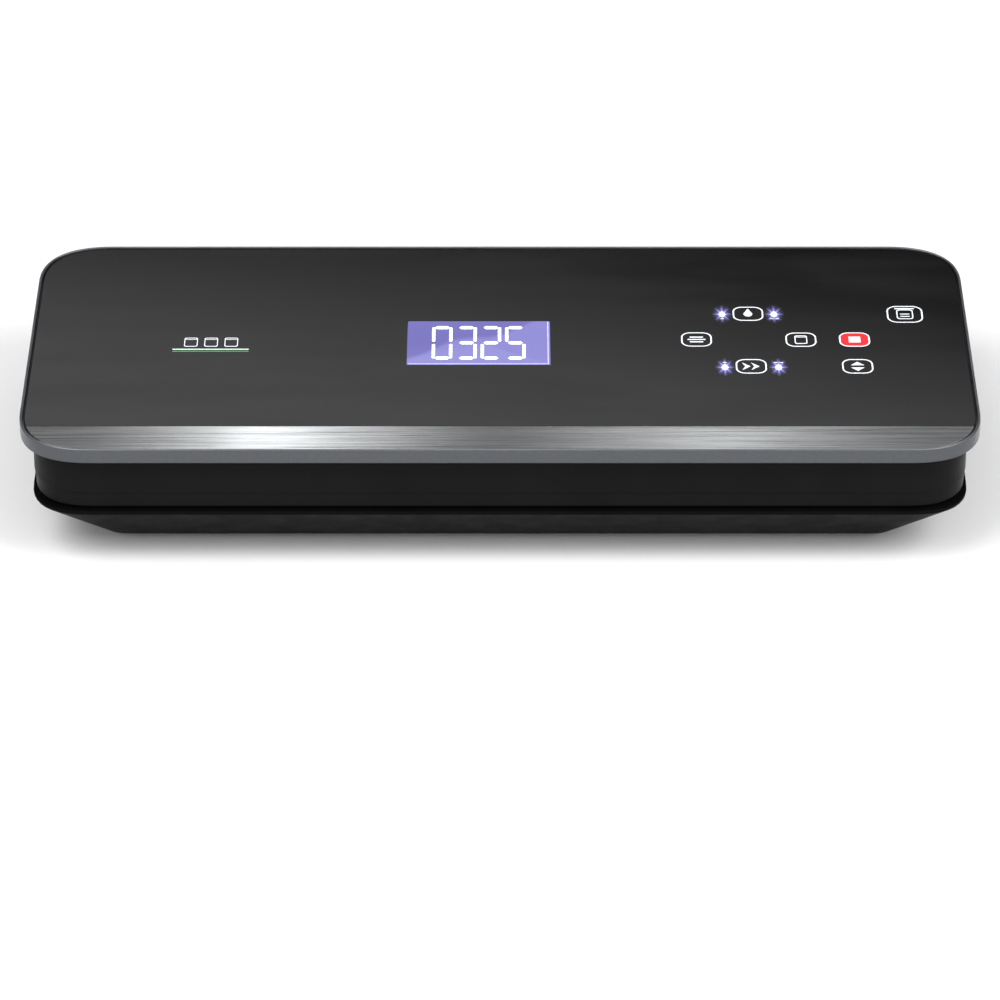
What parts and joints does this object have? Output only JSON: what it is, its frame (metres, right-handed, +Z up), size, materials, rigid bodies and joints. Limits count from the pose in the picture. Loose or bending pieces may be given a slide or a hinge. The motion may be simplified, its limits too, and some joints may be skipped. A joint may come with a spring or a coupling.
{
  "type": "vacuum sealer",
  "caption": "Flat countertop vacuum sealer: hinged lid with touch panel and display over a base with vacuum channel, heated seal bar, piston pump and motor-driven lid lock.",
  "frame": {"origin": "centre of the footprint, on the surface the feet stand on", "axes": "+X to the right along the width, -Y towards the user and the side the bag goes in, +Z up"},
  "size_m": [0.42, 0.185, 0.064],
  "materials": {
    "shell_black": "moulded black ABS with a fine satin texture",
    "tray_black": "moulded black ABS, slightly glossier lip",
    "rim_gunmetal": "dark metallic lacquer on the lid's rim",
    "panel_gloss": "high-gloss black touch panel",
    "trim_steel": "stainless strip brushed along its length",
    "foot_rubber": "black rubber",
    "gasket_foam": "closed-cell black foam rubber",
    "press_silicone": "dark red silicone",
    "bar_phenolic": "brown heat-resistant moulding",
    "heater_metal": "resistance alloy ribbon",
    "ptfe_cloth": "woven glass cloth coated with PTFE",
    "drip_grey": "smoked grey moulding",
    "natural_nylon": "natural nylon",
    "motor_steel": "zinc-plated drawn steel can",
    "head_plastic": "black glass-filled nylon",
    "damper_rubber": "soft black rubber",
    "hose_silicone": "milky silicone tube",
    "board_green": "green circuit board",
    "component_black": "moulded electronic parts",
    "core_steel": "varnished laminated core",
    "inlet_black": "black moulded inlet",
    "nickel_pin": "nickel-plated contact",
    "port_grey": "dark grey moulding",
    "plated_steel": "zinc-plated steel",
    "gear_brass": "hobbed brass",
    "liner_black": "satin black lid liner",
    "display_blue": "backlit display behind a clear window",
    "led_white": "clear light pipe",
    "contact_spring": "plated touch spring",
    "plunger_red": "red moulded plunger"
  },
  "bodies": {
    "base": {"bottom_tray": "tray_black", "base_shell": "shell_black", "deck": "shell_black", "channel_pan": "liner_black", "foot_front_left": "foot_rubber", "foot_front_right": "foot_rubber", "foot_rear_left": "foot_rubber", "foot_rear_right": "foot_rubber", "seal_bar": "bar_phenolic", "heating_strip": "heater_metal", "ptfe_cover": "ptfe_cloth", "lower_gasket": "gasket_foam", "drip_tray": "drip_grey", "suction_port": "natural_nylon", "pump_motor": "motor_steel", "pump_housing": "natural_nylon", "pump_head_front": "head_plastic", "pump_head_rear": "head_plastic", "pump_cradle": "damper_rubber", "suction_hose": "hose_silicone", "canister_hose": "hose_silicone", "release_valve": "natural_nylon", "vacuum_sensor": "component_black", "power_board": "board_green", "transformer": "core_steel", "board_parts": "component_black", "power_inlet": "inlet_black", "inlet_pins": "nickel_pin", "canister_port": "port_grey", "lock_gearmotor": "motor_steel", "gearmotor_bracket": "plated_steel", "shaft_bearings": "natural_nylon", "lid_switch": "component_black", "case_screws": "plated_steel", "hinge_pin_left": "plated_steel", "hinge_pin_right": "plated_steel"},
    "lid": {"lid_frame": "rim_gunmetal", "touch_panel": "panel_gloss", "trim_strip": "trim_steel", "lid_liner": "liner_black", "upper_gasket": "gasket_foam", "press_strip": "press_silicone", "display_module": "display_blue", "control_board": "board_green", "control_parts": "component_black", "touch_springs": "contact_spring", "indicator_leds": "led_white", "catch_left": "plated_steel", "catch_right": "plated_steel", "liner_screws": "plated_steel"},
    "lock_shaft": {"lock_shaft": "plated_steel", "hook_left": "plated_steel", "hook_right": "plated_steel", "sector_gear": "natural_nylon"},
    "lock_pinion": {"lock_pinion": "gear_brass"},
    "switch_plunger": {"switch_plunger": "plunger_red"},
    "pump_crank": {"pump_crank": "plated_steel"},
    "piston_yoke": {"piston_yoke": "natural_nylon", "piston_seals": "damper_rubber"}
  },
  "joints": [
    {"name": "lid_hinge", "type": "hinge", "parent": "base", "child": "lid", "pos_m": [0, 0.087, 0.057], "axis": [-1, 0, 0], "range_deg": [0, 60]},
    {"name": "lock_shaft_turn", "type": "hinge", "parent": "base", "child": "lock_shaft", "pos_m": [0, -0.0425, 0.0215], "axis": [1, 0, 0], "range_deg": [0, 14]},
    {"name": "lock_pinion_turn", "type": "hinge", "parent": "base", "child": "lock_pinion", "pos_m": [0, -0.0185, 0.0215], "axis": [1, 0, 0], "range_deg": [-42, 0]},
    {"name": "switch_plunger_slide", "type": "slide", "parent": "base", "child": "switch_plunger", "axis": [0, 0, 1], "range_m": [-0.001, 0], "stiffness_N_per_m": 200, "springref_m": 0.001},
    {"name": "pump_crank_turn", "type": "hinge", "parent": "base", "child": "pump_crank", "pos_m": [0, 0.022, 0.027], "axis": [1, 0, 0], "continuous": true},
    {"name": "piston_slide", "type": "slide", "parent": "base", "child": "piston_yoke", "axis": [0, 1, 0], "range_m": [-0.002, 0.002]}
  ],
  "couplings": [
    {"joint": "lock_pinion_turn", "follows": "lock_shaft_turn", "ratio": -3}
  ]
}
